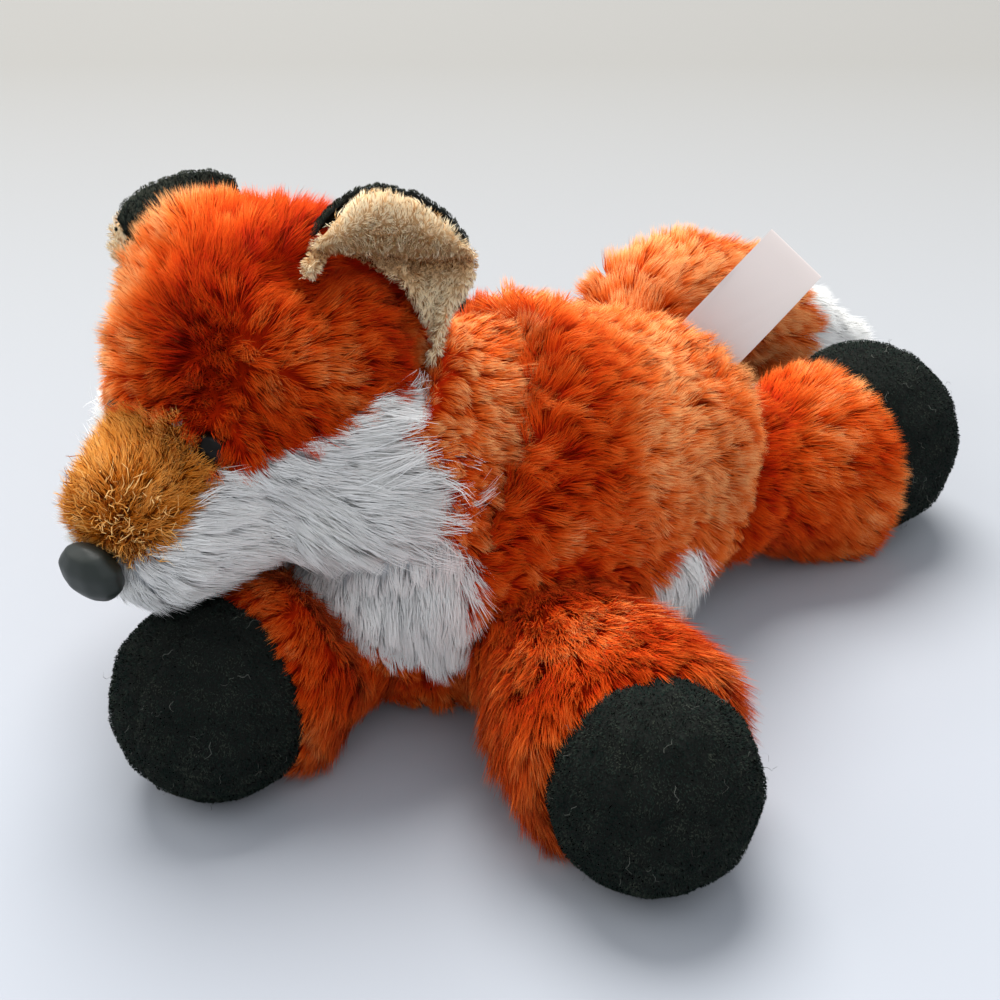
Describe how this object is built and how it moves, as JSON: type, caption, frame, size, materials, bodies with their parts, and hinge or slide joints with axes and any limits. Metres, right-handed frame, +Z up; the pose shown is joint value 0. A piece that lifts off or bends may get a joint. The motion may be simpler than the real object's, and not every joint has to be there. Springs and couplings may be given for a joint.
{
  "type": "plush fox",
  "caption": "Plush fox lying on its belly with splayed legs; a soft toy whose stuffed head, ears, legs and tail bend at their seams.",
  "frame": {"origin": "middle of the flat stretch of belly that the toy lies on, at floor level", "axes": "+Z up, -Y the way the fox faces, +X its left side, tail towards +Y"},
  "size_m": [0.1742, 0.2649, 0.121],
  "materials": {
    "orange_plush": "long pile plush",
    "white_plush": "long pile plush",
    "tan_plush": "short curly pile plush",
    "black_fleece": "short matt fleece",
    "cream_fleece": "short looped fleece",
    "stuffing": "loose fibre filling",
    "bean_bag": "plain woven pouch",
    "nose_plastic": "satin",
    "eye_plastic": "gloss",
    "washer_plastic": "matt",
    "satin_ribbon": "woven satin"
  },
  "bodies": {
    "body": {"body_back": "orange_plush", "body_belly": "white_plush", "body_filling": "stuffing", "bean_pouch": "bean_bag", "label": "satin_ribbon"},
    "head": {"head_crown": "orange_plush", "muzzle_bridge": "tan_plush", "cheeks_and_chin": "white_plush", "head_filling": "stuffing", "nose": "nose_plastic", "nose_washer": "washer_plastic", "eye_left": "eye_plastic", "eye_washer_left": "washer_plastic", "eye_right": "eye_plastic", "eye_washer_right": "washer_plastic"},
    "ear_left": {"ear_lining_left": "cream_fleece", "ear_back_left": "black_fleece"},
    "ear_right": {"ear_lining_right": "cream_fleece", "ear_back_right": "black_fleece"},
    "leg_front_left": {"leg_sleeve_front_left": "orange_plush", "paw_left_half_front_left": "black_fleece", "paw_right_half_front_left": "black_fleece", "leg_filling_front_left": "stuffing"},
    "leg_front_right": {"leg_sleeve_front_right": "orange_plush", "paw_left_half_front_right": "black_fleece", "paw_right_half_front_right": "black_fleece", "leg_filling_front_right": "stuffing"},
    "leg_hind_left": {"leg_sleeve_hind_left": "orange_plush", "paw_left_half_hind_left": "black_fleece", "paw_right_half_hind_left": "black_fleece", "leg_filling_hind_left": "stuffing"},
    "leg_hind_right": {"leg_sleeve_hind_right": "orange_plush", "paw_left_half_hind_right": "black_fleece", "paw_right_half_hind_right": "black_fleece", "leg_filling_hind_right": "stuffing"},
    "tail": {"tail_sleeve": "orange_plush", "tail_tip": "white_plush", "tail_filling": "stuffing"}
  },
  "joints": [
    {"name": "head_turn", "type": "hinge", "parent": "body", "child": "head", "pos_m": [-0.033, -0.045, 0.0775], "axis": [0, 0, 1], "range_deg": [-30, 8], "stiffness_Nm_per_rad": 0.05},
    {"name": "ear_left_flap", "type": "hinge", "parent": "head", "child": "ear_left", "pos_m": [-0.01075, -0.042, 0.0955], "axis": [0.3876, 0.6821, -0.6201], "range_deg": [-15, 15], "stiffness_Nm_per_rad": 0.03},
    {"name": "ear_right_flap", "type": "hinge", "parent": "head", "child": "ear_right", "pos_m": [-0.05525, -0.042, 0.0955], "axis": [-0.3876, 0.6821, -0.6201], "range_deg": [-15, 15], "stiffness_Nm_per_rad": 0.03},
    {"name": "front_leg_left_swing", "type": "hinge", "parent": "body", "child": "leg_front_left", "pos_m": [0.022, -0.027, 0.021], "axis": [0, 0, 1], "range_deg": [-15, 15], "stiffness_Nm_per_rad": 0.05},
    {"name": "front_leg_right_swing", "type": "hinge", "parent": "body", "child": "leg_front_right", "pos_m": [-0.0155, -0.046, 0.021], "axis": [0, 0, 1], "range_deg": [-15, 15], "stiffness_Nm_per_rad": 0.05},
    {"name": "hind_leg_left_swing", "type": "hinge", "parent": "body", "child": "leg_hind_left", "pos_m": [0.027, 0.048, 0.025], "axis": [0, 0, 1], "range_deg": [-15, 15], "stiffness_Nm_per_rad": 0.05},
    {"name": "hind_leg_right_swing", "type": "hinge", "parent": "body", "child": "leg_hind_right", "pos_m": [-0.02, 0.036, 0.025], "axis": [0, 0, 1], "range_deg": [-15, 15], "stiffness_Nm_per_rad": 0.05},
    {"name": "tail_wag", "type": "hinge", "parent": "body", "child": "tail", "pos_m": [-0.009, 0.056, 0.046], "axis": [0, 0, 1], "range_deg": [-20, 20], "stiffness_Nm_per_rad": 0.05}
  ]
}
